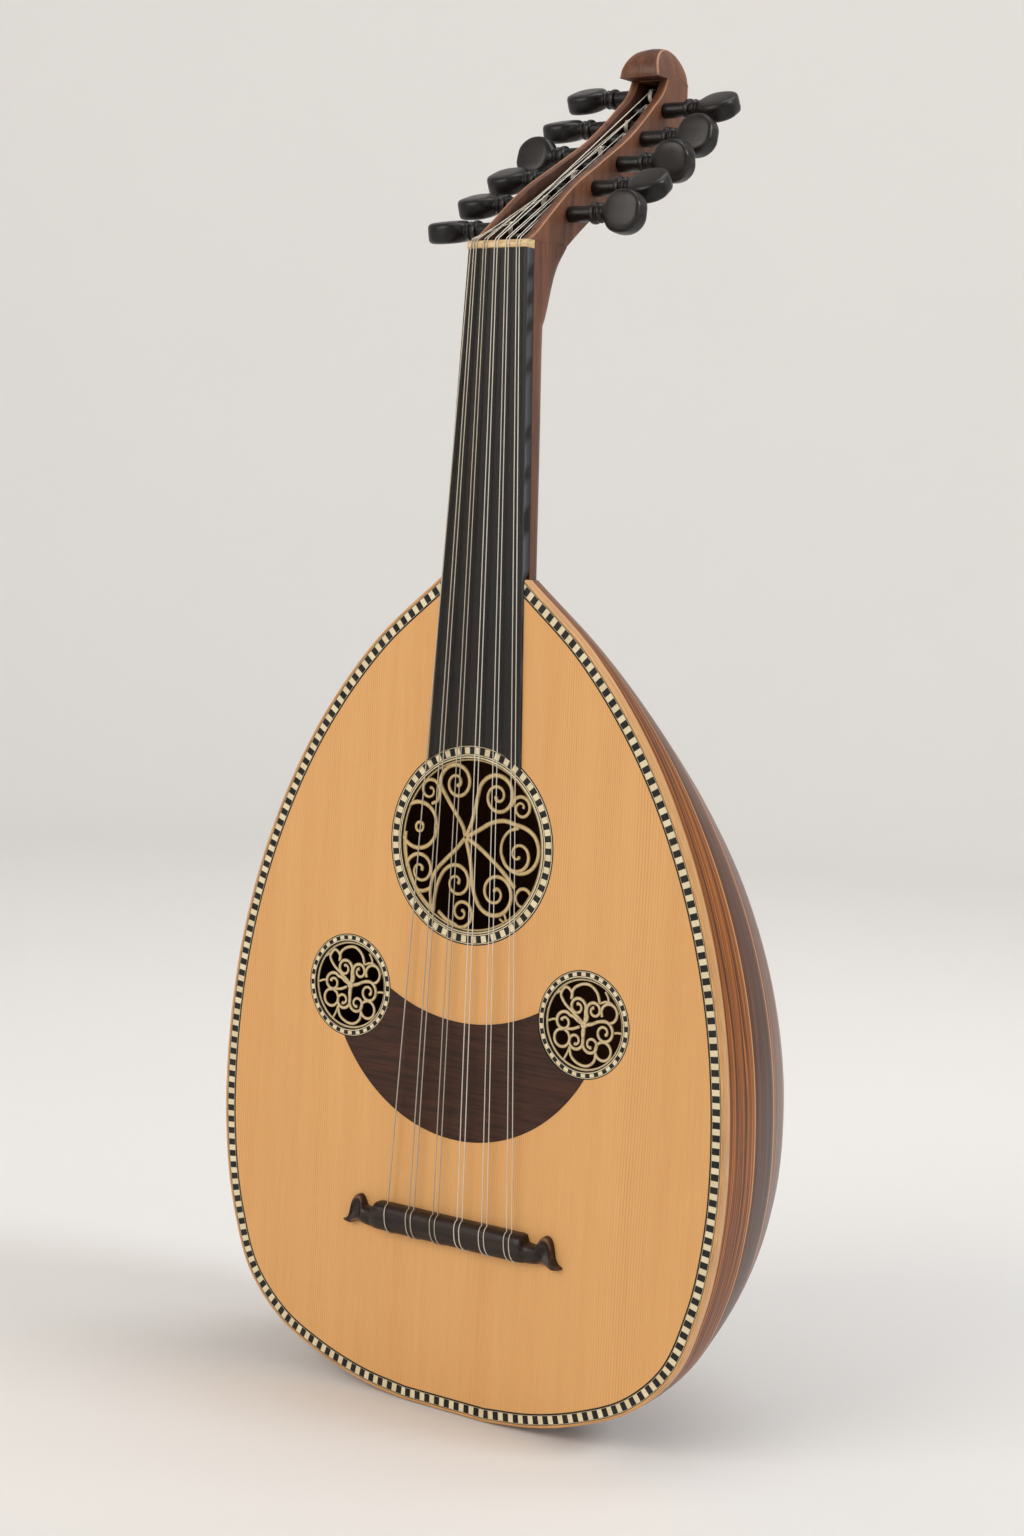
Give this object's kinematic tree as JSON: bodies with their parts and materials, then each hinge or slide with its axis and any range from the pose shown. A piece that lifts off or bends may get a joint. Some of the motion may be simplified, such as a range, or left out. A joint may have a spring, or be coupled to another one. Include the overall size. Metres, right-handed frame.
{
  "type": "oud",
  "caption": "Short-necked fretless lute with a staved bowl back, pierced rosettes, crescent pickguard, bent-back pegbox and turning friction pegs.",
  "frame": {"origin": "middle of the small flat at the tail end that the body stands on, 3.1 mm behind the soundboard's face", "axes": "+Z from the tail up the neck, +Y from the soundboard towards the back of the bowl, +X to the treble side, which is on the right seen from the front"},
  "size_m": [0.363, 0.1954, 0.8234],
  "materials": {
    "spruce": "satin, fine upright grain",
    "brace_spruce": "bare",
    "rosewood": "gloss lacquer over streaked grain",
    "walnut": "satin oil",
    "maple": "gloss",
    "ebony": "polished",
    "inlay": "polished black and cream blocks",
    "grille": "carved, waxed",
    "guard": "polished",
    "bone": "polished bone",
    "string": "nylon, the bass ones wound with silvered wire"
  },
  "bodies": {
    "root": {"rib_01": "rosewood", "rib_02": "rosewood", "rib_03": "rosewood", "rib_04": "rosewood", "rib_05": "rosewood", "rib_06": "rosewood", "rib_07": "rosewood", "rib_08": "rosewood", "rib_09": "rosewood", "rib_10": "rosewood", "rib_11": "rosewood", "rib_12": "rosewood", "rib_13": "rosewood", "rib_14": "rosewood", "rib_15": "rosewood", "rib_16": "rosewood", "rib_17": "rosewood", "rib_18": "rosewood", "rib_19": "rosewood", "strings_course_1": "string", "strings_course_2": "string", "strings_course_3": "string", "strings_course_4": "string", "strings_course_5": "string", "strings_course_6": "string", "soundboard": "spruce", "brace_1": "brace_spruce", "brace_2": "brace_spruce", "brace_3": "brace_spruce", "neck_block": "brace_spruce", "tail_block": "brace_spruce", "end_clasp": "walnut", "edge_band": "maple", "edge_purfling": "inlay", "rosette_ring_large": "inlay", "rosette_ring_left": "inlay", "rosette_ring_right": "inlay", "rosette_grille_large": "grille", "rosette_grille_left": "grille", "rosette_grille_right": "grille", "pickguard": "guard", "bridge": "ebony", "fingerboard": "ebony", "neck": "walnut", "nut": "bone", "pegbox_cheek_left": "walnut", "pegbox_cheek_right": "walnut", "pegbox_back": "walnut", "finial": "walnut"},
    "peg_left_1": {"peg_left_1": "ebony"},
    "peg_right_1": {"peg_right_1": "ebony"},
    "peg_left_2": {"peg_left_2": "ebony"},
    "peg_right_2": {"peg_right_2": "ebony"},
    "peg_left_3": {"peg_left_3": "ebony"},
    "peg_right_3": {"peg_right_3": "ebony"},
    "peg_left_4": {"peg_left_4": "ebony"},
    "peg_right_4": {"peg_right_4": "ebony"},
    "peg_left_5": {"peg_left_5": "ebony"},
    "peg_right_5": {"peg_right_5": "ebony"},
    "peg_left_6": {"peg_left_6": "ebony"}
  },
  "joints": [
    {"name": "peg_left_1_turn", "type": "hinge", "parent": "root", "child": "peg_left_1", "pos_m": [0, 0.0259, 0.6975], "axis": [1, 0, 0], "continuous": true},
    {"name": "peg_right_1_turn", "type": "hinge", "parent": "root", "child": "peg_right_1", "pos_m": [0, 0.03923, 0.70683], "axis": [1, 0, 0], "continuous": true},
    {"name": "peg_left_2_turn", "type": "hinge", "parent": "root", "child": "peg_left_2", "pos_m": [0, 0.05249, 0.71624], "axis": [1, 0, 0], "continuous": true},
    {"name": "peg_right_2_turn", "type": "hinge", "parent": "root", "child": "peg_right_2", "pos_m": [0, 0.06574, 0.72568], "axis": [1, 0, 0], "continuous": true},
    {"name": "peg_left_3_turn", "type": "hinge", "parent": "root", "child": "peg_left_3", "pos_m": [0, 0.07913, 0.73491], "axis": [1, 0, 0], "continuous": true},
    {"name": "peg_right_3_turn", "type": "hinge", "parent": "root", "child": "peg_right_3", "pos_m": [0, 0.09266, 0.74395], "axis": [1, 0, 0], "continuous": true},
    {"name": "peg_left_4_turn", "type": "hinge", "parent": "root", "child": "peg_left_4", "pos_m": [0, 0.10592, 0.75336], "axis": [1, 0, 0], "continuous": true},
    {"name": "peg_right_4_turn", "type": "hinge", "parent": "root", "child": "peg_right_4", "pos_m": [0, 0.11894, 0.76311], "axis": [1, 0, 0], "continuous": true},
    {"name": "peg_left_5_turn", "type": "hinge", "parent": "root", "child": "peg_left_5", "pos_m": [0, 0.13153, 0.7734], "axis": [1, 0, 0], "continuous": true},
    {"name": "peg_right_5_turn", "type": "hinge", "parent": "root", "child": "peg_right_5", "pos_m": [0, 0.14362, 0.78428], "axis": [1, 0, 0], "continuous": true},
    {"name": "peg_left_6_turn", "type": "hinge", "parent": "root", "child": "peg_left_6", "pos_m": [0, 0.1549, 0.796], "axis": [1, 0, 0], "continuous": true}
  ]
}
